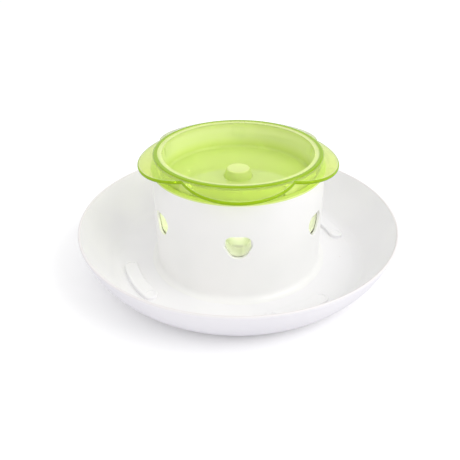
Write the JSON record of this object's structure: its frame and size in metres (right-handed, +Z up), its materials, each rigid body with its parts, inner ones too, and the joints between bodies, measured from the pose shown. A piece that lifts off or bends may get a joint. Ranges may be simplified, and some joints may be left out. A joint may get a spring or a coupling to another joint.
{
  "type": "push button treat dispenser",
  "caption": "Round pet feeder: a bowl-shaped tray around a drum with side outlets, a lift-out hopper and a sprung dish-shaped push button with petals.",
  "frame": {"origin": "middle of the surface that the feet stand on", "axes": "+Z up along the button's travel, -Y towards the front petal and front outlet"},
  "size_m": [0.28, 0.28, 0.1057],
  "materials": {
    "white_plastic": "satin moulded",
    "green_plastic": "clear tinted, polished",
    "guide_plastic": "plain moulded",
    "foot_rubber": "matt",
    "bumper_rubber": "matt",
    "steel": "zinc plated"
  },
  "bodies": {
    "base": {"tray": "white_plastic", "drum": "white_plastic", "front_left_foot": "foot_rubber", "front_right_foot": "foot_rubber", "rear_left_foot": "foot_rubber", "rear_right_foot": "foot_rubber", "drum_screws": "steel"},
    "hopper": {"hopper": "green_plastic"},
    "guide": {"guide_tube": "guide_plastic", "pin_bush": "guide_plastic", "stop_bumper": "bumper_rubber", "spring_seat": "steel", "return_spring": "steel"},
    "button": {"button_dish": "green_plastic", "stem": "guide_plastic", "agitator": "green_plastic", "agitator_screws": "steel", "guide_pin": "steel", "pin_washer": "steel", "pin_nut": "steel"}
  },
  "joints": [
    {"name": "hopper_lift", "type": "slide", "parent": "base", "child": "hopper", "axis": [0, 0, 1], "range_m": [0, 0.064]},
    {"name": "button_unit_lift", "type": "slide", "parent": "hopper", "child": "guide", "axis": [0, 0, 1], "range_m": [0, 0.064]},
    {"name": "button_press", "type": "slide", "parent": "guide", "child": "button", "axis": [0, 0, 1], "range_m": [-0.008, 0], "stiffness_N_per_m": 500, "springref_m": 0.008, "deforming": ["return_spring"]}
  ]
}
